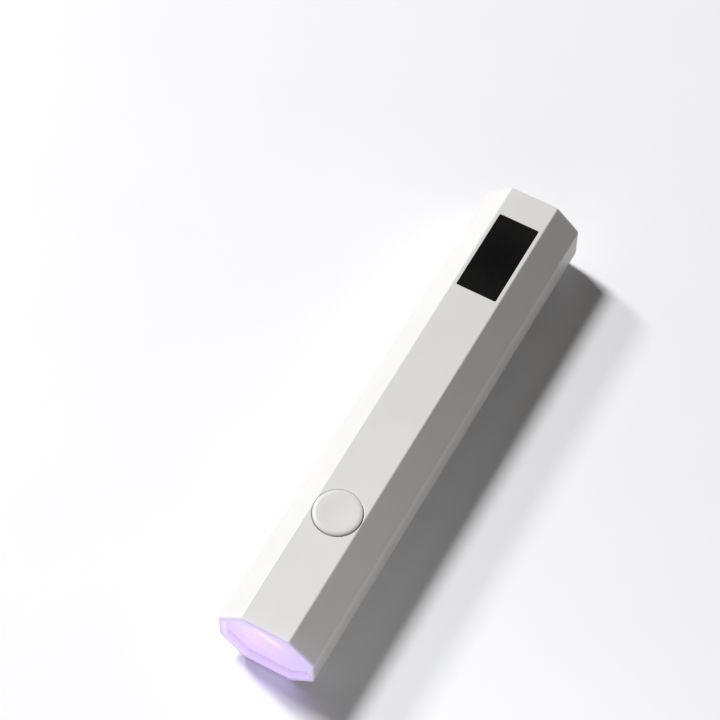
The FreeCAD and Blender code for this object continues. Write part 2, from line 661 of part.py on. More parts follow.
def make_chip_leads():
    leads = []
    for x, y, _, width, _, count, on_top in CHIPS.values():
        z0 = BOARD_Z1 if on_top else BOARD_Z0 - CHIP_LEAD_H
        out = (width + CHIP_LEAD_L) / 2
        for index in range(count):
            lead_x = x + (index - (count - 1) / 2) * CHIP_LEAD_PITCH
            leads += [centred_box(lead_x, y + side * out, z0, CHIP_LEAD_W, CHIP_LEAD_L, CHIP_LEAD_H)
                      for side in (-1, 1)]
    return group(leads)


def make_inductor():
    core = centred_box(INDUCTOR_X, 0, BOARD_Z1, INDUCTOR_W, INDUCTOR_W, INDUCTOR_H)
    return core.makeFillet(INDUCTOR_CORNER_R, edges_along(core, Vec(0, 0, 1)))


def make_storage_capacitors():
    cans = []
    for x in CAN_PLACES:
        can = rod_z(CAN_R, x, 0, BOARD_Z1, BOARD_Z1 + CAN_H)
        cans.append(can.makeFillet(CAN_EDGE_R, rims_above(can, BOARD_Z1 + CAN_H / 2)))
    return group(cans)


def make_chip_capacitors():
    return group([centred_box(x, y, BOARD_Z1, *CHIP_CAPACITOR_SIZE) for x, y in CHIP_CAPACITOR_PLACES])


def make_chip_resistors():
    return group([centred_box(x, y, BOARD_Z1, *CHIP_RESISTOR_SIZE) for x, y in CHIP_RESISTOR_PLACES])


# ---- charging socket ----
def make_usb_shell():
    shell = stadium(USB_W, USB_H, USB_X0, USB_X1)
    return shell.cut(stadium(USB_W - 2 * USB_SHELL_T, USB_H - 2 * USB_SHELL_T, USB_X0 - PAST, USB_X1 + PAST))


def make_usb_tongue():
    base_x1 = USB_X0 + USB_BASE_L
    tongue_l = USB_X1 - TONGUE_BEHIND_MOUTH - base_x1
    base = stadium(USB_W - 2 * USB_SHELL_T, USB_H - 2 * USB_SHELL_T, USB_X0, base_x1)
    tongue = centred_box(base_x1 + tongue_l / 2, 0, MID_Z - TONGUE_T / 2, tongue_l, TONGUE_W, TONGUE_T)
    return base.fuse(tongue).removeSplitter()


# ---- battery and wiring ----
def make_battery_cell():
    cell = box(CELL_X0, CELL_X1, -CELL_W / 2, CELL_W / 2, CELL_Z0, CELL_Z1)
    return cell.makeFillet(CELL_EDGE_R, edges_along(cell, Vec(1, 0, 0)))


def make_battery_tabs():
    return group([box(CELL_X1, PROTECTION_X0, y0, y1, TAB_Z, TAB_Z + TAB_T)
                  for y0, y1 in both_sides(TAB_Y0, TAB_Y1)])


def make_protection_board():
    half_w = PROTECTION_HALF_W
    return box(PROTECTION_X0, PROTECTION_X1, -half_w, half_w, TAB_Z - PROTECTION_BELOW,
               TAB_Z + PROTECTION_ABOVE)


def make_battery_pad():
    length = CELL_L - 2 * BATTERY_PAD_INSET
    middle_x = (CELL_X0 + CELL_X1) / 2
    return centred_box(middle_x, 0, CELL_Z1, length, 2 * BATTERY_PAD_HALF_W, BOARD_Z0 - CELL_Z1)


def make_battery_header():
    z0 = BOARD_Z0 - CONNECTOR_H
    return box(HEADER_X0, HEADER_X0 + HEADER_L, -HEADER_HALF_W, HEADER_HALF_W, z0, BOARD_Z0)


def make_battery_plug():
    z0 = BOARD_Z0 - CONNECTOR_H + PLUG_IN
    return box(HEADER_X0 - PLUG_L, HEADER_X0, -PLUG_HALF_W, PLUG_HALF_W, z0, BOARD_Z0 - PLUG_IN)


def make_battery_lead(side):
    y = side * BATTERY_LEAD_Y
    plug_x = HEADER_X0 - PLUG_L
    plug_z = BOARD_Z0 - CONNECTOR_H / 2
    start_z = TAB_Z - LEAD_BELOW_TAB
    points = [(PROTECTION_X1, y, start_z), (PROTECTION_X1 + BATTERY_LEAD_STUB, y, start_z),
              (plug_x - BATTERY_LEAD_STUB, y, plug_z), (plug_x, y, plug_z)]
    return lead(points, WIRE_R)


def make_led_lead(side):
    y = side * LED_LEAD_Y
    pad_z = BOARD_Z1 + WIRE_R
    points = [(LED_BOARD_X1, y, LED_LEAD_Z), (HEAT_SINK_X1 + LED_LEAD_STUB, y, LED_LEAD_Z),
              (BOARD_X0 + LED_LEAD_LAND, y, pad_z), (BOARD_X0 + LED_LEAD_END, y, pad_z)]
    return lead(points, WIRE_R)


def main():
    nodes = {
        "body_sleeve": make_body_sleeve(),
        "rear_cap": make_rear_cap(),
        "cap_screws": make_cap_screws(),
        "display_window": make_display_window(),
        "window_adhesive": make_window_adhesive(),
        "front_lens": make_front_lens(),
        "lens_gasket": make_lens_gasket(),
        "reflector": make_reflector(),
        "led_packages": make_led_packages(),
        "led_domes": make_led_domes(),
        "led_board": make_led_board(),
        "thermal_pad": make_thermal_pad(),
        "heat_sink": make_heat_sink(),
        "led_board_screws": make_led_board_screws(),
        "power_button": make_power_button(),
        "switch_body": make_switch_body(),
        "switch_cover": make_switch_cover(),
        "switch_plunger": make_switch_plunger(),
        "switch_dome": make_switch_dome(),
        "switch_pins": make_switch_pins(),
        "display_module": make_display_module(),
        "display_pins": make_display_pins(),
        "chassis": make_chassis(),
        "main_board": make_main_board(),
        "board_screws": make_board_screws(),
        "chip_leads": make_chip_leads(),
        "inductor": make_inductor(),
        "storage_capacitors": make_storage_capacitors(),
        "chip_capacitors": make_chip_capacitors(),
        "chip_resistors": make_chip_resistors(),
        "usb_shell": make_usb_shell(),
        "usb_tongue": make_usb_tongue(),
        "battery_cell": make_battery_cell(),
        "battery_tabs": make_battery_tabs(),
        "protection_board": make_protection_board(),
        "battery_pad": make_battery_pad(),
        "battery_header": make_battery_header(),
        "battery_plug": make_battery_plug(),
        "battery_lead_red": make_battery_lead(1),
        "battery_lead_black": make_battery_lead(-1),
        "led_lead_red": make_led_lead(1),
        "led_lead_black": make_led_lead(-1),
    }
    for name in CHIPS:
        nodes[name] = make_chip(name)
    os.makedirs("parts", exist_ok=True)
    for name, shape in nodes.items():
        shape.exportStep("parts/" + name + ".step")
        state = "valid" if shape.isValid() else "INVALID"
        print(name, state, len(shape.Solids), "solids", round(shape.Volume, 2), "mm3")


main()
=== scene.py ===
# %% [markdown]
# # A handheld UV LED nail lamp
# The lamp is a straight wand with a stretched octagonal section. A round push button sits near the lens
# end, a flush black window near the tail, and the lens end glows lavender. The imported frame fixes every
# size and place; this file rebuilds the outer pieces with finer edges and gives every piece its finish.

# %% Load the frame
import math

import bmesh
import bpy
from mathutils import Matrix, Vector


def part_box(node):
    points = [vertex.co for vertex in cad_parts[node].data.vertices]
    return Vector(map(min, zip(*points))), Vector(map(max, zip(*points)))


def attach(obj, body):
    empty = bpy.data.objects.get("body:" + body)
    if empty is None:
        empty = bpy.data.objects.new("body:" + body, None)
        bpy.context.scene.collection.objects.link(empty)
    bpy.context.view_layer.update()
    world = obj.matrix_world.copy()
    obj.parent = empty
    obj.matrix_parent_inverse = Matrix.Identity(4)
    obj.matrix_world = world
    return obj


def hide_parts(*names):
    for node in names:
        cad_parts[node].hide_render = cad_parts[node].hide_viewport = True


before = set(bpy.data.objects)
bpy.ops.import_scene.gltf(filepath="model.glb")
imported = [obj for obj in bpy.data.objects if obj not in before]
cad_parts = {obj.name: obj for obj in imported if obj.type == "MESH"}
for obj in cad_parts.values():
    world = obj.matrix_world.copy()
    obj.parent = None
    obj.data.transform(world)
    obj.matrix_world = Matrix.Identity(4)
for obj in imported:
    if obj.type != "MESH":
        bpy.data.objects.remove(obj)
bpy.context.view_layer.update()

# %% [markdown]
# ## Sizes
# Boxes of the frame's nodes give nearly every size. What a box can't tell is named here: the chamfer of
# the octagon, wall thicknesses and edge radii. Everything is in metres, so MM turns millimetres into them.

# %% Sizes of the housing
MM = 0.001
sleeve_low, sleeve_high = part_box("body_sleeve")
lens_low, lens_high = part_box("front_lens")

LENS_END_X = sleeve_low.x
TAIL_X = sleeve_high.x
LEDGE_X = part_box("lens_gasket")[1].x
TOP_Z = sleeve_high.z
MID_Z = (sleeve_high.z + sleeve_low.z) / 2
WIDTH = sleeve_high.y - sleeve_low.y
HEIGHT = sleeve_high.z - sleeve_low.z
CHAMFER = 5.9 * MM
WALL = 1.5 * MM
RIM_WALL = 1.25 * MM
LONG_EDGE_R = 0.6 * MM
LENS_EDGE_R = 0.5 * MM
TAIL_EDGE_R = 1.2 * MM
SLIP = 0.05 * MM          # gap round a piece that drops into a pocket
PAST = 1.0 * MM           # how far a cutting shape runs past the face it cuts
ON_PLANE = 0.0001 * MM    # points nearer than this to a plane lie on it
print("housing", [round(v / MM, 2) for v in sleeve_high - sleeve_low], "mm")

# %% [markdown]
# ## A recipe for finishes
# Every finish starts from the Principled shader, and patterns are wired into its sockets. Nodes could be
# added and linked line by line, but that hides what a finish is made of. One helper that adds a node and
# feeds its sockets lets a finish read like a list of what it does.

# %% Start a finish and add nodes to it
def start_finish(name, roughness, metallic=0.0):
    material = bpy.data.materials.new(name)
    material.use_nodes = True
    tree = material.node_tree
    shader = tree.nodes["Principled BSDF"]
    shader.inputs["Roughness"].default_value = roughness
    shader.inputs["Metallic"].default_value = metallic
    return material, tree, shader


def feed(tree, socket, value):
    """Links a socket, or sets a number, a Vector or a colour given as three shares."""
    if isinstance(value, bpy.types.NodeSocket):
        tree.links.new(value, socket)
    elif isinstance(value, tuple):
        socket.default_value = (*value, 1.0)
    else:
        socket.default_value = value


def add_node(tree, kind, inputs, **settings):
    node = tree.nodes.new(kind)
    for key, value in settings.items():
        setattr(node, key, value)
    for key, value in inputs.items():
        feed(tree, node.inputs[key], value)
    return node


print("finishes so far", len(bpy.data.materials))

# %% [markdown]
# ## Patterns
# No real surface has one tone or one gloss, so every finish needs a pattern. An image would have to be
# wrapped round the piece; noise needs no wrapping. It reads Object coordinates, so it stays with its
# piece when the piece moves, and its grain is given in metres, which is how a mould maker would state it.

# %% Patterns
LOW_NOISE = 0.3           # noise seldom leaves this range, so patterns are stretched over it
HIGH_NOISE = 0.7


def piece_point(tree):
    """The place on the piece, in metres."""
    return add_node(tree, "ShaderNodeTexCoord", {}).outputs["Object"]


def grain(tree, size, detail=2.0, stretch=(1.0, 1.0, 1.0)):
    """Noise with grains of about this size; a stretch under 1 draws them out along an axis."""
    mapped = add_node(tree, "ShaderNodeMapping", {"Vector": piece_point(tree), "Scale": Vector(stretch)})
    noise = {"Vector": mapped.outputs[0], "Scale": 1 / size, "Detail": detail}
    return add_node(tree, "ShaderNodeTexNoise", noise).outputs[0]


def spread(tree, value, low, high, from_low=LOW_NOISE, from_high=HIGH_NOISE):
    """Maps a pattern to the range low to high."""
    ranges = {"Value": value, "From Min": from_low, "From Max": from_high, "To Min": low, "To Max": high}
    return add_node(tree, "ShaderNodeMapRange", ranges).outputs[0]


print("noise is taken from", LOW_NOISE, "to", HIGH_NOISE)

# %% [markdown]
# A pattern can drive the colour, the gloss and the relief. Bump relief is right for a grain that is too
# fine to model; edges and anything that shows in the outline are modelled instead.

# %% Sums, mixed colours and relief
def maths(tree, operation, first, second=0.0):
    return add_node(tree, "ShaderNodeMath", {0: first, 1: second}, operation=operation).outputs[0]


def two_tone(tree, share, first, second):
    """A colour on the way from first to second."""
    factor, colour_a, colour_b, colour_out = 0, 6, 7, 2    # the Mix node's sockets for colours
    inputs = {factor: share, colour_a: first, colour_b: second}
    return add_node(tree, "ShaderNodeMix", inputs, data_type="RGBA").outputs[colour_out]


def relief(tree, height, depth, strength):
    """Surface relief as deep as depth where the pattern is at its highest."""
    inputs = {"Height": height, "Distance": depth, "Strength": strength}
    return add_node(tree, "ShaderNodeBump", inputs).outputs[0]


print("pattern helpers:", ", ".join(f.__name__ for f in (grain, spread, maths, two_tone, relief)))

# %% [markdown]
# ## Worn edges
# Hands polish a wand's edges first. A mask could be painted by hand, but the Bevel node finds the edges
# itself: where a rounded surface would face another way than the real one does, there is an edge.

# %% Find the edges that wear
WORN_EDGE_R = 0.35 * MM   # edges sharper than this wear
FULLY_WORN = 0.93         # how alike the two directions are on a sharp edge, and on a flat
UNWORN = 0.995


def edge_mask(tree, radius):
    """1 along edges sharper than radius and 0 on flats."""
    rounded = add_node(tree, "ShaderNodeBevel", {"Radius": radius}, samples=4).outputs[0]
    plain = add_node(tree, "ShaderNodeNewGeometry", {}).outputs["Normal"]
    alike = add_node(tree, "ShaderNodeVectorMath", {0: rounded, 1: plain}, operation="DOT_PRODUCT")
    return spread(tree, alike.outputs["Value"], 1.0, 0.0, from_low=FULLY_WORN, from_high=UNWORN)


print("edges sharper than", round(WORN_EDGE_R / MM, 2), "mm wear")

# %% [markdown]
# ## Light in the wall
# Behind the lens end the housing's wall is thin, and light shows through it: most at the rim itself, and
# as a faint tint that fades within a few millimetres. Real scattering would need many samples, so the
# plastic glows a little instead, and its glow fades along the wand.

# %% Glow that fades from the lens end
LAVENDER = (0.62, 0.45, 1.0)
RECESS_PINK = (0.73, 0.5, 1.0)
RIM_REACH = 0.9 * MM
TINT_REACH = 8 * MM
FADE_POWER = 2.0          # over 1, a glow drops fast at first and then slowly


def fade_from_lens(tree, reach, strength):
    """strength at the lens end, falling to 0 at reach along the wand."""
    along = add_node(tree, "ShaderNodeSeparateXYZ", {0: piece_point(tree)}).outputs["X"]
    fade = spread(tree, along, 1.0, 0.0, from_low=LENS_END_X, from_high=LENS_END_X + reach)
    return maths(tree, "MULTIPLY", maths(tree, "POWER", fade, FADE_POWER), strength)


print("the rim's glow fades within", round(RIM_REACH / MM, 2), "mm, the tint within",
      round(TINT_REACH / MM, 2), "mm")

# %% [markdown]
# ## White plastic
# The housing is moulded in white plastic from a finely spark-eroded mould, which leaves a satin face with
# a grain far finer than a fingertip. Its edges are a little brighter and glossier from wear. One flat
# colour would lose all of that, so broad clouds shift the tone, smudges shift the gloss, and the mould's
# grain is a fine relief.

# %% White plastic
WHITE = (0.752, 0.742, 0.722)
BUTTON_WHITE = (0.748, 0.741, 0.732)
TONE_CLOUD = 14 * MM
CLOUD_TONE = 0.97         # the darkest a cloud gets
WORN_TONE = 0.05          # how much brighter a worn edge is
WORN_POLISH = 2.0         # a worn edge gets glossier by this many times that
SMUDGE = 5 * MM
GLOSSIER = 0.04           # how far smudges move the roughness down and up
DULLER = 0.05
SPARK_GRAIN = 0.22 * MM
SPARK_DEPTH = 0.006 * MM


def white_plastic(name, colour, roughness, rim_glow=0.0, tint_glow=0.0, glow_colour=LAVENDER):
    material, tree, shader = start_finish(name, roughness)
    cloud = spread(tree, grain(tree, TONE_CLOUD), CLOUD_TONE, 1.0)
    worn = maths(tree, "MULTIPLY", edge_mask(tree, WORN_EDGE_R), WORN_TONE)
    tone = maths(tree, "ADD", cloud, worn)
    toned = add_node(tree, "ShaderNodeVectorMath", {0: Vector(colour), "Scale": tone}, operation="SCALE")
    tree.links.new(toned.outputs[0], shader.inputs["Base Color"])
    smudge = spread(tree, grain(tree, SMUDGE, detail=4.0), roughness - GLOSSIER, roughness + DULLER)
    polished = maths(tree, "MULTIPLY", worn, WORN_POLISH)
    tree.links.new(maths(tree, "SUBTRACT", smudge, polished), shader.inputs["Roughness"])
    spark = grain(tree, SPARK_GRAIN, detail=3.0)
    tree.links.new(relief(tree, spark, SPARK_DEPTH, strength=0.5), shader.inputs["Normal"])
    if rim_glow or tint_glow:
        shader.inputs["Emission Color"].default_value = (*glow_colour, 1.0)
        glow = maths(tree, "ADD", fade_from_lens(tree, RIM_REACH, rim_glow),
                     fade_from_lens(tree, TINT_REACH, tint_glow))
        tree.links.new(glow, shader.inputs["Emission Strength"])
    return material


housing_plastic = white_plastic("satin_white_plastic", WHITE, roughness=0.42, rim_glow=0.44, tint_glow=0.05)
lit_recess_plastic = white_plastic("lamp_lit_recess_plastic", WHITE, roughness=0.3, tint_glow=0.58,
                                   glow_colour=RECESS_PINK)
print("plastics", housing_plastic.name, lit_recess_plastic.name)

# %% [markdown]
# ## Housing: the outer form
# The real housing is one moulding, open at both ends. It could be drawn vertex by vertex, but an octagon
# that is extruded along the wand needs only its eight corners, and the same shape, drawn in by a wall's
# thickness, later cuts the bore and makes the lens. Drawn in by d, a 45 degree chamfer's leg shrinks by
# d x (2 - sqrt(2)).

# %% An octagonal bar
def octagon_bar(inset, x0, x1):
    """The housing's outline drawn in by inset, extruded along the wand."""
    leg = CHAMFER - inset * (2 - math.sqrt(2))
    half_w = WIDTH / 2 - inset
    half_h = HEIGHT / 2 - inset
    upper = [(half_w, half_h - leg), (half_w - leg, half_h), (leg - half_w, half_h), (-half_w, half_h - leg)]
    outline = upper + [(-y, -z) for y, z in upper]
    bm = bmesh.new()
    face = bm.faces.new([bm.verts.new((x0, y, MID_Z + z)) for y, z in outline])
    grown = bmesh.ops.extrude_face_region(bm, geom=[face])
    far_end = [item for item in grown["geom"] if isinstance(item, bmesh.types.BMVert)]
    bmesh.ops.translate(bm, verts=far_end, vec=(x1 - x0, 0, 0))
    bmesh.ops.recalc_face_normals(bm, faces=bm.faces)
    return bm


outer_form = octagon_bar(0, LENS_END_X, TAIL_X)
print("plain bar", len(outer_form.faces), "faces,", round((TAIL_X - LENS_END_X) / MM, 2), "mm long")

# %% [markdown]
# ## Housing: the rounded edges
# A moulding has no knife edges, and the light that its edges catch is what draws its outline. The edges
# are rounded in the order in which a mould is cut. The tail's rim has the largest radius and comes first,
# then the lens end's, and last the eight long edges, which then run on over both rims. A long edge turns
# only 45 degrees, so its rounding reaches R x tan(22.5) to each side.

# %% Round the housing's edges
CORNER_TURN = math.radians(30)    # the outline turns more than this only at its eight corners
LONG_EDGE_HALF_TURN = math.radians(22.5)
FACES_ALONG = 0.1                 # a face whose direction is shorter than this across the wand is an end


def round_edges(bm, edges, offset, segments):
    bmesh.ops.bevel(bm, geom=edges, offset=offset, offset_type="OFFSET", segments=segments, profile=0.5,
                    affect="EDGES", material=-1, clamp_overlap=True)


def end_edges(bm, x):
    return [e for e in bm.edges if all(abs(v.co.x - x) < ON_PLANE for v in e.verts)]


def across(normal):
    """A face's direction seen along the wand."""
    return Vector((0, normal.y, normal.z))


def is_long_edge(edge):
    first, second = (across(face.normal) for face in edge.link_faces)
    return min(first.length, second.length) > FACES_ALONG and first.angle(second) > CORNER_TURN


round_edges(outer_form, end_edges(outer_form, TAIL_X), TAIL_EDGE_R, segments=7)
round_edges(outer_form, end_edges(outer_form, LENS_END_X), LENS_EDGE_R, segments=5)
outer_form.normal_update()
long_edges = [e for e in outer_form.edges if is_long_edge(e)]
round_edges(outer_form, long_edges, LONG_EDGE_R * math.tan(LONG_EDGE_HALF_TURN), segments=4)
print("rounded", len(long_edges), "stretches of long edge,", len(outer_form.faces), "faces")

# %% [markdown]
# ## Housing: the openings
# Inserts in the mould leave the bore, the lens recess, the button's hole and the window's pocket, all
# with crisp edges. Cutting them into the mesh by hand would spoil the flat faces round them, and a
# Boolean cuts them exactly. Large flats then get weighted normals, so that no cut leaves a smear of shade.

# %% Objects, cuts and shading
def piece_from(bm, name, *materials):
    """Turns a finished bmesh into an object at the origin."""
    mesh = bpy.data.meshes.new(name)
    bm.to_mesh(mesh)
    bm.free()
    for material in materials:
        mesh.materials.append(material)
    piece = bpy.data.objects.new(name, mesh)
    bpy.context.scene.collection.objects.link(piece)
    return piece


def combine(piece, other, operation):
    """Cuts other out of piece, or joins it on, and removes other."""
    modifier = piece.modifiers.new("combine", "BOOLEAN")
    modifier.operation = operation
    modifier.solver = "EXACT"
    modifier.material_mode = "TRANSFER"
    modifier.object = other
    bpy.context.view_layer.update()
    depsgraph = bpy.context.evaluated_depsgraph_get()
    result = bpy.data.meshes.new_from_object(piece.evaluated_get(depsgraph))
    piece.modifiers.clear()
    piece.data = result
    bpy.data.objects.remove(other)


def shade(piece, crisp_above_deg=32):
    """Smooth shading that keeps true edges crisp and lets large flat faces rule the normals."""
    for polygon in piece.data.polygons:
        polygon.use_smooth = True
    piece.data.set_sharp_from_angle(angle=math.radians(crisp_above_deg))
    modifier = piece.modifiers.new("flat faces rule", "WEIGHTED_NORMAL")
    modifier.keep_sharp = True


housing = piece_from(outer_form, "housing_shell", housing_plastic)
print("housing has", len(housing.data.polygons), "faces before it is cut")

# %% [markdown]
# The bore takes everything inside, and the recess in front of it takes the lens. The walls that a cut
# leaves could be found and painted afterwards, but a cutting shape can carry a finish of its own, and the
# walls take it over. So the recess gets its lit plastic from the cut itself.

# %% Cut the bore and the lens recess
bore = piece_from(octagon_bar(WALL, LEDGE_X, TAIL_X + PAST), "bore", housing_plastic)
recess = piece_from(octagon_bar(RIM_WALL, LENS_END_X - PAST, LEDGE_X + SLIP), "recess", lit_recess_plastic)
combine(housing, bore, "DIFFERENCE")
combine(housing, recess, "DIFFERENCE")
print("after bore and recess", len(housing.data.polygons), "faces")

# %% [markdown]
# The button's hole could be drilled with a plain cylinder, but a moulded hole's upper rim is rounded a
# little, and that softens the dark ring round the button. So half the cutter's outline, with the rim's
# arc in it, is spun round the button's axis.

# %% Cut the button's hole
button_low, button_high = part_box("power_button")
BUTTON_X = (button_low.x + button_high.x) / 2
BUTTON_HOLE_R = 5.8 * MM
HOLE_RIM_R = 0.26 * MM
SPIN_STEPS = 96


def arc(centre_r, centre_z, radius, start_deg, end_deg, steps=6):
    """Points along an arc of the half outline, given as (radius, height)."""
    angles = [math.radians(start_deg + (end_deg - start_deg) * step / steps) for step in range(steps + 1)]
    return [(centre_r + radius * math.cos(a), centre_z + radius * math.sin(a)) for a in angles]


def turned(outline):
    """Spins half an outline, given as (radius, height) points, round the button's axis."""
    bm = bmesh.new()
    points = [bm.verts.new((BUTTON_X + radius, 0, z)) for radius, z in outline]
    edges = [bm.edges.new(pair) for pair in zip(points, points[1:])]
    bmesh.ops.spin(bm, geom=points + edges, cent=(BUTTON_X, 0, 0), axis=(0, 0, 1), angle=math.tau,
                   steps=SPIN_STEPS, use_merge=True)
    bmesh.ops.remove_doubles(bm, verts=bm.verts, dist=ON_PLANE)
    bmesh.ops.recalc_face_normals(bm, faces=bm.faces)
    return bm


inside_z = TOP_Z - WALL - PAST
flare = arc(BUTTON_HOLE_R + HOLE_RIM_R, TOP_Z - HOLE_RIM_R, HOLE_RIM_R, 180, 90)
hole_outline = [(0, inside_z), (BUTTON_HOLE_R, inside_z)] + flare
hole_outline += [(BUTTON_HOLE_R + HOLE_RIM_R, TOP_Z + PAST), (0, TOP_Z + PAST)]
combine(housing, piece_from(turned(hole_outline), "hole", housing_plastic), "DIFFERENCE")
print("button hole", round(2 * BUTTON_HOLE_R / MM, 2), "mm across at", round(BUTTON_X / MM, 2))

# %% [markdown]
# The window lies in a pocket, on a ledge, and the display looks out through an opening inside the ledge.
# Both cuts are plates with rounded corners. A cube whose upright edges are bevelled gives them, and the
# same helper makes the window itself later, so the two are sure to fit.

# %% Cut the window's pocket and opening
window_low, window_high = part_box("display_window")
LEDGE_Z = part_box("window_adhesive")[0].z
WINDOW_CORNER_R = 0.4 * MM
LEDGE = 1.0 * MM


def plate(low, high, corner_r, top_edge_r=0.0):
    """A plate between two corners, with rounded upright corners and a softened top edge."""
    size = Vector(high) - Vector(low)
    centre = (Vector(high) + Vector(low)) / 2
    bm = bmesh.new()
    bmesh.ops.create_cube(bm, size=1, matrix=Matrix.Translation(centre) @ Matrix.Diagonal((*size, 1)))
    upright = [e for e in bm.edges if abs((e.verts[0].co - e.verts[1].co).z) > size.z / 2]
    round_edges(bm, upright, corner_r, segments=6)
    if top_edge_r:
        top = [e for e in bm.edges if min(v.co.z for v in e.verts) > high[2] - ON_PLANE]
        round_edges(bm, top, top_edge_r, segments=3)
    return bm


def grown(low, high, by, z0, z1):
    """The corners of a node's box, larger by this much sideways, between two heights."""
    return (low.x - by, low.y - by, z0), (high.x + by, high.y + by, z1)


pocket = plate(*grown(window_low, window_high, SLIP, LEDGE_Z, TOP_Z + PAST), WINDOW_CORNER_R)
opening = plate(*grown(window_low, window_high, -LEDGE, inside_z, TOP_Z), WINDOW_CORNER_R)
combine(housing, piece_from(pocket, "pocket", housing_plastic), "DIFFERENCE")
combine(housing, piece_from(opening, "opening", housing_plastic), "DIFFERENCE")
shade(housing)
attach(housing, "housing")
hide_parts("body_sleeve")
print("housing", len(housing.data.polygons), "faces,", len(housing.data.materials), "finishes")

# %% [markdown]
# ## Lens
# A frosted plate closes the lens end, and three LEDs in a faceted cup light it from behind. Light through
# a real diffuser would need many samples, so the plate itself glows, in the pattern that the cup makes.
# Two shapes are enough for it: soft ellipses for the light over the LEDs, and the cup's facets, which are
# octagons too, so the second shape measures an octagon's reach from the middle.

# %% Patterns on the lens
led_low, led_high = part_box("led_domes")
LED_ROW_Z = (led_low.z + led_high.z) / 2


def soft_spot(tree, centre_y, centre_z, reach_y, reach_z, tilt_deg=0.0):
    """1 in the middle of an ellipse on the lens, fading to 0 at its rim."""
    moved = add_node(tree, "ShaderNodeVectorMath", {0: piece_point(tree), 1: Vector((0, centre_y, centre_z))},
                     operation="SUBTRACT")
    turn = {"Vector": moved.outputs[0], "Axis": Vector((1, 0, 0)), "Angle": -math.radians(tilt_deg)}
    level = add_node(tree, "ShaderNodeVectorRotate", turn).outputs[0]
    scale = {0: level, 1: Vector((0, 1 / reach_y, 1 / reach_z))}
    flat = add_node(tree, "ShaderNodeVectorMath", scale, operation="MULTIPLY").outputs[0]
    reach = add_node(tree, "ShaderNodeVectorMath", {0: flat}, operation="LENGTH").outputs["Value"]
    ranges = {"Value": reach, "From Min": 1.0, "From Max": 0.0}
    return add_node(tree, "ShaderNodeMapRange", ranges, interpolation_type="SMOOTHSTEP").outputs[0]


def octagon_reach(tree):
    """0 in the middle of the lens and 1 along its octagonal outline."""
    apart = add_node(tree, "ShaderNodeSeparateXYZ", {0: piece_point(tree)})
    sideways = maths(tree, "ABSOLUTE", apart.outputs["Y"])
    upwards = maths(tree, "ABSOLUTE", maths(tree, "SUBTRACT", apart.outputs["Z"], MID_Z))
    to_sides = maths(tree, "DIVIDE", sideways, WIDTH / 2 - RIM_WALL)
    to_top = maths(tree, "DIVIDE", upwards, HEIGHT / 2 - RIM_WALL)
    corner_reach = (WIDTH + HEIGHT) / 2 - CHAMFER - RIM_WALL * math.sqrt(2)
    to_corners = maths(tree, "DIVIDE", maths(tree, "ADD", sideways, upwards), corner_reach)
    return maths(tree, "MAXIMUM", maths(tree, "MAXIMUM", to_sides, to_top), to_corners)


print("LED row at", round(LED_ROW_Z / MM, 2), "mm")

# %% [markdown]
# The lens is brightest in a tilted streak over the LED row, pinkish round it, and bluer and dimmer over
# the cup's outer facets and along its own edge. A colour ramp over one distance could not hold all of
# these, so they are laid over each other in turn, as glazes are. The frost is a fine relief in its gloss.

# %% Lit lens finish
LENS_BLUE = (0.56, 0.5, 0.82)
LENS_PINK = (0.78, 0.56, 0.88)
LENS_STREAK = (0.96, 0.75, 0.93)
LENS_EDGE = (0.58, 0.46, 0.84)
LENS_UNLIT = (0.13, 0.12, 0.17)
PINK_SPOT = {"centre_y": 3 * MM, "centre_z": LED_ROW_Z - 3 * MM, "reach_y": 16 * MM, "reach_z": 14 * MM}
STREAK_SPOT = {"centre_y": 0, "centre_z": LED_ROW_Z + 1.8 * MM, "reach_y": 5.5 * MM, "reach_z": 1.9 * MM,
               "tilt_deg": 20}
FACET_FROM, FACET_TO, FACET_SHARE = 0.55, 0.64, 0.3    # reach at which the facets start, and their share
EDGE_FROM, EDGE_SHARE = 0.93, 0.7
MOTTLE_GRAIN = 2.2 * MM
MOTTLE_SHARE = 0.12
FROST_GRAIN = 0.35 * MM
FROST_DEPTH = 0.01 * MM


def lit_lens_finish():
    material, tree, shader = start_finish("frosted_lit_lens", roughness=0.3)
    reach = octagon_reach(tree)
    facet = spread(tree, reach, 0.0, FACET_SHARE, from_low=FACET_FROM, from_high=FACET_TO)
    edge = spread(tree, reach, 0.0, EDGE_SHARE, from_low=EDGE_FROM, from_high=1.0)
    glow = two_tone(tree, soft_spot(tree, **PINK_SPOT), LENS_BLUE, LENS_PINK)
    glow = two_tone(tree, facet, glow, LENS_BLUE)
    glow = two_tone(tree, soft_spot(tree, **STREAK_SPOT), glow, LENS_STREAK)
    glow = two_tone(tree, edge, glow, LENS_EDGE)
    mottle = spread(tree, grain(tree, MOTTLE_GRAIN, detail=3.0), 0.0, MOTTLE_SHARE)
    tree.links.new(two_tone(tree, mottle, glow, LENS_BLUE), shader.inputs["Emission Color"])
    shader.inputs["Emission Strength"].default_value = 1.0
    shader.inputs["Base Color"].default_value = (*LENS_UNLIT, 1.0)
    frost = grain(tree, FROST_GRAIN, detail=3.0)
    tree.links.new(spread(tree, frost, 0.25, 0.38), shader.inputs["Roughness"])
    tree.links.new(relief(tree, frost, FROST_DEPTH, strength=0.6), shader.inputs["Normal"])
    return material


lens_finish = lit_lens_finish()
print("lens finish", len(lens_finish.node_tree.nodes), "nodes")

# %% [markdown]
# The plate drops into the recess with a hair's gap all round, and its front edge is broken, as a cut
# acrylic plate's is. It is the housing's own outline again, so it needs no new helper.

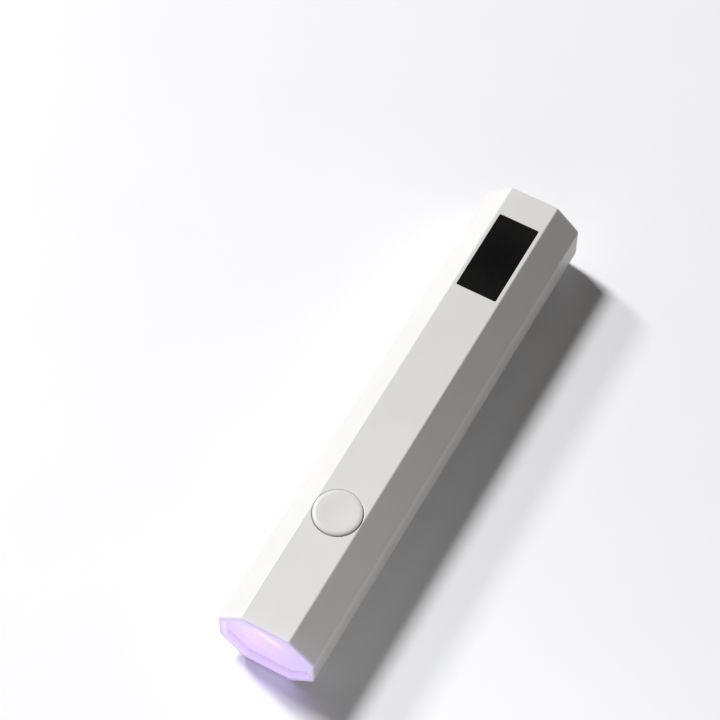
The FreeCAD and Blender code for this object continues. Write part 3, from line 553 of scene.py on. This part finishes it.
# %% Lens plate
LENS_EDGE_CUT = 0.15 * MM
bm = octagon_bar(RIM_WALL + SLIP, lens_low.x, lens_high.x)
round_edges(bm, end_edges(bm, lens_low.x), LENS_EDGE_CUT, segments=2)
lens = piece_from(bm, "lit_lens", lens_finish)
shade(lens)
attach(lens, "housing")
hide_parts("front_lens")
print("lens sits", round((lens_low.x - LENS_END_X) / MM, 2), "mm inside the rim")

# %% [markdown]
# ## Button: its outline
# A round cap moulded in nearly the same white. Its top has a shallow dish for the thumb and bends down
# towards the rim, ever steeper, into the side that drops into the hole. A quarter of an ellipse has just
# that bend, where a plain arc would catch too wide a highlight. It is an arc of radius 1, stretched.

# %% Half the button's outline
BUTTON_R = 5.68 * MM
CROWN_W = 1.0 * MM        # the top falls off over this width, by this much
CROWN_DROP = 0.38 * MM
DISH = 0.1 * MM
DISH_FORM = ((0, 1.0), (0.35, 0.8), (0.6, 0.28))    # share of the radius, and of the dish's depth there
FLANGE_T = 0.8 * MM
POST_R = 1.5 * MM
flange_z1 = TOP_Z - WALL - SLIP
flange_z0 = flange_z1 - FLANGE_T

quarter = arc(0, 0, 1.0, 90, 0, steps=10)
dish = [(BUTTON_R * out, button_high.z - DISH * depth) for out, depth in DISH_FORM]
crown = [(BUTTON_R - CROWN_W + CROWN_W * r, button_high.z - CROWN_DROP * (1 - z)) for r, z in quarter]
under = [(BUTTON_R, flange_z0), (POST_R, flange_z0), (POST_R, button_low.z), (0, button_low.z)]
print("button's half outline has", len(dish + crown + under), "points")

# %% [markdown]
# ## Button: its body
# Under the cap hang a flange, which stops it from falling out, and a post, which reaches the switch. Cap
# and post are round, so they are spun from the half outline in one go. The flange isn't round, so it is a
# plate joined on.

# %% Button
FLANGE_W = 10.4 * MM
FLANGE_CORNER_R = 0.4 * MM
button_plastic = white_plastic("button_white_plastic", BUTTON_WHITE, roughness=0.4)
button = piece_from(turned(dish + crown + under), "push_button", button_plastic)
flange_low = (button_low.x, -FLANGE_W / 2, flange_z0)
flange_high = (button_high.x, FLANGE_W / 2, flange_z1)
flange = piece_from(plate(flange_low, flange_high, FLANGE_CORNER_R), "flange", button_plastic)
combine(button, flange, "UNION")
shade(button)
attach(button, "button")
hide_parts("power_button")
print("button stands", round((button_high.z - TOP_Z) / MM, 2), "mm proud")

# %% [markdown]
# ## Window
# The display is off, so the window shows as plain black: smoked acrylic with a hard coat, dimmed by its
# own satin face. It is darkest in the middle, and painted light makes it lighter towards its edges. Real
# smoked glass over a dark box would look the same for far more work, so the pane is simply near black. A
# few hair-fine wiping marks show only in its reflection.

# %% Window
SMOKE = (0.0048, 0.0048, 0.0055)
# the pane's colour at its edges, lifted by painted light
SMOKE_PAINTED_EDGE_LIGHT = (0.0088, 0.0088, 0.0082)
EDGE_LIGHT_FROM = 2 * MM       # distance from the middle at which the painted edge light starts, and where it is full
EDGE_LIGHT_TO = 11 * MM
WIPE_GRAIN = 0.5 * MM
WIPED_ALONG = (0.2, 1.0, 1.0)
WIPE_DEPTH = 0.0005 * MM
WINDOW_EDGE_R = 0.08 * MM
window_middle = (window_low + window_high) / 2


def smoked_acrylic():
    material, tree, shader = start_finish("smoked_acrylic", roughness=0.2)
    shader.inputs["Specular IOR Level"].default_value = 0.2
    from_middle = add_node(tree, "ShaderNodeVectorMath", {0: piece_point(tree), 1: window_middle},
                           operation="DISTANCE").outputs["Value"]
    # painted light: the pane is painted lighter from its middle out to its edges
    edge = spread(tree, from_middle, 0.0, 1.0, from_low=EDGE_LIGHT_FROM, from_high=EDGE_LIGHT_TO)
    tree.links.new(two_tone(tree, edge, SMOKE, SMOKE_PAINTED_EDGE_LIGHT), shader.inputs["Base Color"])
    wiped = grain(tree, WIPE_GRAIN, detail=4.0, stretch=WIPED_ALONG)
    tree.links.new(spread(tree, wiped, 0.18, 0.24), shader.inputs["Roughness"])
    tree.links.new(relief(tree, wiped, WIPE_DEPTH, strength=0.2), shader.inputs["Normal"])
    return material


window = piece_from(plate(window_low, window_high, WINDOW_CORNER_R, WINDOW_EDGE_R), "display_window_pane",
                    smoked_acrylic())
shade(window)
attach(window, "housing")
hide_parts("display_window")
print("window", [round(v / MM, 2) for v in window_high - window_low], "mm")

# %% [markdown]
# ## Metal
# Stamped shells, screws, cans and contacts differ in colour and in the direction of their fine marks.
# One recipe serves them all: the marks are noise drawn out along an axis, and they change the tone, the
# gloss and the relief together, because they are the same scratches.

# %% Metal finish
MARK_GRAIN = 0.3 * MM
MARK_DEPTH = 0.002 * MM
MARK_TONE = 0.82          # tone at the bottom of a mark


def shaded(colour, tone):
    return tuple(share * tone for share in colour)


def metal(name, colour, roughness, marks=(1.0, 1.0, 1.0)):
    material, tree, shader = start_finish(name, roughness, metallic=1.0)
    lines = grain(tree, MARK_GRAIN, detail=4.0, stretch=marks)
    tone = two_tone(tree, spread(tree, lines, 0.0, 1.0), colour, shaded(colour, MARK_TONE))
    tree.links.new(tone, shader.inputs["Base Color"])
    tree.links.new(spread(tree, lines, roughness - 0.06, roughness + 0.1), shader.inputs["Roughness"])
    tree.links.new(relief(tree, lines, MARK_DEPTH, strength=0.4), shader.inputs["Normal"])
    return material


gilt = metal("gilt_contact", (0.83, 0.6, 0.26), roughness=0.25)
print("marks of", round(MARK_GRAIN / MM, 2), "mm on", gilt.name)

# %% [markdown]
# ## Socket contacts
# The socket's tongue carries two rows of gilt contacts. They could be a striped finish on the tongue, but
# they stand a hair proud of it and catch the light on their own. They are thin strips, so one box is
# placed again and again at the contacts' pitch, above and below the tongue.

# %% Socket contacts
TONGUE_TIP_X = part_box("usb_tongue")[1].x
CONTACTS_PER_SIDE = 12
CONTACT_PITCH = 0.5 * MM
CONTACT_SIZE = Vector((3.4, 0.26, 0.04)) * MM
TONGUE_T = 0.7 * MM
TIP_MARGIN = 0.4 * MM

bm = bmesh.new()
contact_x = TONGUE_TIP_X - TIP_MARGIN - CONTACT_SIZE.x / 2
for side in (-1, 1):
    contact_z = MID_Z + side * (TONGUE_T + CONTACT_SIZE.z) / 2
    for index in range(CONTACTS_PER_SIDE):
        contact_y = (index - (CONTACTS_PER_SIDE - 1) / 2) * CONTACT_PITCH
        place = Matrix.Translation((contact_x, contact_y, contact_z))
        bmesh.ops.create_cube(bm, size=1, matrix=place @ Matrix.Diagonal((*CONTACT_SIZE, 1)))
contacts = piece_from(bm, "socket_contacts", gilt)
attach(contacts, "housing")
print("contacts", 2 * CONTACTS_PER_SIDE)

# %% [markdown]
# ## Mouldings
# Cast, moulded and coated parts could each have a finish of their own, but they differ only in colour,
# gloss and grain. So they share one recipe: a broad cloud of tone, and a fine grain that changes the gloss
# and the relief together.

# %% Moulding finish
MOULDING_CLOUD = 4 * MM
MOULDING_TONE = 0.85      # the darkest a cloud gets


def moulding(name, colour, roughness, size=0.4 * MM, depth=0.004 * MM):
    material, tree, shader = start_finish(name, roughness)
    fine = grain(tree, size, detail=3.0)
    cloud = spread(tree, grain(tree, MOULDING_CLOUD), 0.0, 1.0)
    tone = two_tone(tree, cloud, colour, shaded(colour, MOULDING_TONE))
    tree.links.new(tone, shader.inputs["Base Color"])
    tree.links.new(spread(tree, fine, roughness - 0.06, roughness + 0.08), shader.inputs["Roughness"])
    tree.links.new(relief(tree, fine, depth, strength=0.5), shader.inputs["Normal"])
    return material


print("mouldings have clouds of", round(MOULDING_CLOUD / MM, 2), "mm")

# %% [markdown]
# ## Boards and foil
# Two finishes don't fit that recipe. A circuit board shows copper tracks under its lacquer, so a grid of
# fine lines lifts the lacquer's tone and its surface. The cell's foil is creased all over, so one deep,
# detailed noise does its gloss and relief, and its tone paints shade into the creases' hollows and light
# on their ridges.

# %% Board and foil finishes
TRACK_GRID = 3 * MM
TRACK_SHARE = 0.06        # width of a track as a share of the grid
TRACK_DEPTH = 0.02 * MM
BLACK, DARK, LIGHT = (0.0, 0.0, 0.0), (0.1, 0.1, 0.1), (1.0, 1.0, 1.0)
# the foil's colour, painted darker in crease hollows and lighter on their ridges
FOIL_CREASE_SHADE = (0.6, 0.61, 0.63)
FOIL_RIDGE_LIGHT = (0.75, 0.76, 0.78)
CREASE_GRAIN = 2.5 * MM
CREASE_DEPTH = 0.08 * MM


def printed_board(name, lacquer, over_copper):
    material, tree, shader = start_finish(name, roughness=0.35)
    tracks = {"Vector": piece_point(tree), "Scale": 1 / TRACK_GRID, "Mortar Size": TRACK_SHARE,
              "Color1": BLACK, "Color2": DARK, "Mortar": LIGHT}
    pattern = add_node(tree, "ShaderNodeTexBrick", tracks).outputs["Color"]
    tree.links.new(two_tone(tree, pattern, lacquer, over_copper), shader.inputs["Base Color"])
    tree.links.new(relief(tree, pattern, TRACK_DEPTH, strength=0.6), shader.inputs["Normal"])
    tree.links.new(spread(tree, grain(tree, 2 * MM), 0.3, 0.42), shader.inputs["Roughness"])
    return material


def foil(name):
    material, tree, shader = start_finish(name, roughness=0.35, metallic=0.9)
    creases = grain(tree, CREASE_GRAIN, detail=5.0)
    # painted shade in the creases' hollows, painted light on their ridges
    tone = two_tone(tree, spread(tree, creases, 0.0, 1.0), FOIL_CREASE_SHADE, FOIL_RIDGE_LIGHT)
    tree.links.new(tone, shader.inputs["Base Color"])
    tree.links.new(spread(tree, creases, 0.28, 0.45), shader.inputs["Roughness"])
    tree.links.new(relief(tree, creases, CREASE_DEPTH, strength=0.7), shader.inputs["Normal"])
    return material


print("tracks on a grid of", round(TRACK_GRID / MM, 2), "mm, creases of", round(CREASE_GRAIN / MM, 2), "mm")

# %% [markdown]
# ## Finishes of the pieces that show at the tail
# The cap, the socket and the screws are right as they come from the frame, so they could only lose by
# being rebuilt. Each gets the finish of the real thing: the housing's plastic, nickel, and stamped steel
# whose marks run along the wand.

# %% Finishes outside
ALONG_WAND = (0.15, 1.0, 1.0)
UPWARDS = (1.0, 1.0, 0.1)
ROUND_CAN = (1.0, 1.0, 0.15)
finishes = {
    white_plastic("cap_white_plastic", WHITE, roughness=0.45): ["rear_cap"],
    metal("nickel_plate", (0.6, 0.59, 0.57), 0.3): ["cap_screws", "board_screws", "led_board_screws"],
    metal("stamped_steel", (0.62, 0.62, 0.64), 0.28, ALONG_WAND): ["usb_shell", "switch_cover",
                                                                  "switch_dome"],
    moulding("socket_black", (0.012, 0.012, 0.013), 0.45): ["usb_tongue"],
}
print("outside", sum(len(names) for names in finishes.values()), "pieces")

# %% [markdown]
# ## Finishes of the pieces inside
# Nothing inside shows while the lamp is closed, but it has to look right once the lamp is opened. A table
# that pairs each finish with its pieces is easier to check than a line for each piece. Every row is a
# colour and a roughness, and where it matters a grain and its depth.

# %% Finishes inside
finishes.update({
    metal("tin_plate", (0.72, 0.72, 0.7), 0.35): ["switch_pins", "display_pins", "chip_leads",
                                                 "battery_tabs"],
    metal("extruded_aluminium", (0.7, 0.71, 0.73), 0.42, UPWARDS): ["heat_sink"],
    metal("drawn_can", (0.72, 0.73, 0.75), 0.32, ROUND_CAN): ["storage_capacitors"],
    metal("mirror_coat", (0.86, 0.86, 0.88), 0.1): ["reflector"],
    moulding("switch_black", (0.02, 0.02, 0.021), 0.5): ["switch_body", "switch_plunger", "display_module"],
    moulding("tape_black", (0.015, 0.015, 0.016), 0.7, 0.6 * MM, 0.02 * MM): ["window_adhesive"],
    moulding("chip_epoxy", (0.035, 0.035, 0.04), 0.55): ["micro_controller", "charge_chip", "driver_chip"],
    moulding("resistor_glaze", (0.02, 0.02, 0.024), 0.25): ["chip_resistors"],
    moulding("pad_foam", (0.3, 0.31, 0.33), 0.9, 0.5 * MM, 0.03 * MM): ["thermal_pad", "battery_pad"],
    moulding("ivory_nylon", (0.74, 0.72, 0.62), 0.45): ["battery_header", "battery_plug"],
    moulding("chassis_grey_plastic", (0.16, 0.165, 0.18), 0.5): ["chassis"],
    moulding("led_ceramic", (0.8, 0.79, 0.74), 0.6): ["led_packages"],
    moulding("led_silicone", (0.55, 0.45, 0.9), 0.2): ["led_domes"],
    moulding("gasket_silicone", (0.7, 0.7, 0.72), 0.55): ["lens_gasket"],
    moulding("ferrite", (0.06, 0.06, 0.062), 0.7, 0.3 * MM, 0.01 * MM): ["inductor"],
    moulding("fired_ceramic", (0.45, 0.32, 0.19), 0.4): ["chip_capacitors"],
    moulding("red_insulation", (0.55, 0.03, 0.025), 0.4): ["battery_lead_red", "led_lead_red"],
    moulding("black_insulation", (0.025, 0.025, 0.025), 0.4): ["battery_lead_black", "led_lead_black"],
    printed_board("green_board", (0.02, 0.17, 0.06), (0.05, 0.28, 0.1)): ["main_board", "protection_board"],
    printed_board("white_board", (0.8, 0.8, 0.79), (0.7, 0.7, 0.68)): ["led_board"],
    foil("cell_foil"): ["battery_cell"],
})
print("inside and outside", sum(len(names) for names in finishes.values()), "pieces")

# %% [markdown]
# The frame's pieces stay where they are, and only their finish is changed. A forgotten piece would be
# easy to miss in a closed lamp, so the cell also counts which pieces were left without one.

# %% Hand out the finishes
for finish, names in finishes.items():
    for name in names:
        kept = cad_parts[name]
        kept.data.materials.clear()
        kept.data.materials.append(finish)
rebuilt = {"body_sleeve", "front_lens", "power_button", "display_window"}
finished = rebuilt.union(*finishes.values())
print("pieces without a finish:", sorted(set(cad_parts) - finished))

# %% [markdown]
# ## Floor
# The lamp lies on a plain pale floor with the faint mottling of matt card. A curved backdrop isn't needed,
# because every view looks down on it, so one large square will do.

# %% Floor
FLOOR_HALF = 4.0
FLOOR_DROP = 0.03 * MM    # a hair under the lamp, so that no two faces share a plane
CARD_GRAIN = 30 * MM
CARD_DARK = (0.955, 0.96, 0.99)
CARD_LIGHT = (0.97, 0.975, 1.0)
floor_finish, floor_tree, floor_shader = start_finish("pale_card", roughness=0.45)
card = spread(floor_tree, grain(floor_tree, CARD_GRAIN, detail=3.0), 0.0, 1.0)
card_tone = two_tone(floor_tree, card, CARD_DARK, CARD_LIGHT)
floor_tree.links.new(card_tone, floor_shader.inputs["Base Color"])
bm = bmesh.new()
bmesh.ops.create_grid(bm, x_segments=1, y_segments=1, size=FLOOR_HALF,
                      matrix=Matrix.Translation((0, 0, -FLOOR_DROP)))
floor = piece_from(bm, "studio_floor", floor_finish)
print("floor", 2 * FLOOR_HALF, "m wide")

# %% [markdown]
# ## Light
# A key lamp stands far off on the left, fairly low, and throws the shadow to the right. A larger soft lamp
# stands above it, so the left chamfer is brightest, the top is mid and the right side falls in shade. One
# lamp could do neither a sharp shadow nor soft faces. A small fill near the lens end lifts the shade
# there, so it deepens towards the tail, and a violet lamp at the lens's face throws the lens's own light
# on the floor.

# %% Lamps
def area_lamp(name, aim, towards, distance, size, power, colour=(1.0, 1.0, 1.0)):
    """A square lamp that stands off from the point it aims at, unseen by the camera."""
    light = bpy.data.lights.new(name, "AREA")
    light.size = size
    light.energy = power
    light.color = colour
    lamp = bpy.data.objects.new(name, light)
    lamp.location = Vector(aim) + Vector(towards).normalized() * distance
    lamp.rotation_euler = Vector(towards).to_track_quat("Z", "Y").to_euler()
    lamp.visible_camera = False
    bpy.context.scene.collection.objects.link(lamp)


wand_middle = (0, 0, MID_Z)
lens_rim = (LENS_END_X, -WIDTH / 2, MID_Z)
lens_face = (LENS_END_X - SLIP, 0, MID_Z)
area_lamp("key_lamp", wand_middle, towards=(0.238, 0.789, 0.566), distance=3.0, size=0.3, power=33)
area_lamp("soft_lamp", wand_middle, towards=(0.2, 0.6, 0.78), distance=3.0, size=0.6, power=72)
area_lamp("lens_end_fill", lens_rim, towards=(-0.35, -0.6, 0.72), distance=0.12, size=0.08, power=0.029)
area_lamp("lens_throw", lens_face, towards=(1.0, 0, 0.35), distance=0.0, size=14 * MM, power=0.00024,
          colour=(0.26, 0.27, 1.0))
print("lamps", len(bpy.data.lights))

# %% [markdown]
# A room gives light back from all sides, and its walls are rarely as cool as the lamps. A weak, even,
# warm sky stands in for them and fills the shade. The Standard view keeps whites white.

# %% Sky
SKY = (1.0, 0.93, 0.84)
SKY_STRENGTH = 0.055
world = bpy.data.worlds.new("studio")
world.use_nodes = True
world.node_tree.nodes["Background"].inputs["Color"].default_value = (*SKY, 1.0)
world.node_tree.nodes["Background"].inputs["Strength"].default_value = SKY_STRENGTH
bpy.context.scene.world = world
bpy.context.scene.view_settings.view_transform = "Standard"
print("sky strength", SKY_STRENGTH)

# %% [markdown]
# ## Camera
# A long lens looks down on the wand from the lens end and a little from its right, so that its edges
# hardly run together. The camera could be aimed with a Track To constraint, but here its direction and its
# tilt are known, so they make up its matrix straight away.

# %% Camera
CAMERA_PLACE = Vector((-0.27098, -0.14171, 0.57183))
CAMERA_LOOKS = Vector((0.43379, 0.2458, -0.86684)).normalized()
CAMERA_UP = Vector((0.75837, 0.41988, 0.49858))
FOCAL_MM = 139.56
SENSOR_MM = 36
NEAREST = 0.01
camera_right = CAMERA_LOOKS.cross(CAMERA_UP).normalized()
camera_up = camera_right.cross(CAMERA_LOOKS)
camera_data = bpy.data.cameras.new("camera")
camera_data.lens = FOCAL_MM
camera_data.sensor_width = SENSOR_MM
camera_data.clip_start = NEAREST
camera = bpy.data.objects.new("camera", camera_data)
turn = Matrix((camera_right, camera_up, -CAMERA_LOOKS)).transposed()
camera.matrix_world = Matrix.Translation(CAMERA_PLACE) @ turn.to_4x4()
bpy.context.scene.collection.objects.link(camera)
bpy.context.scene.camera = camera
print("camera stands", round(CAMERA_PLACE.length, 3), "m away")
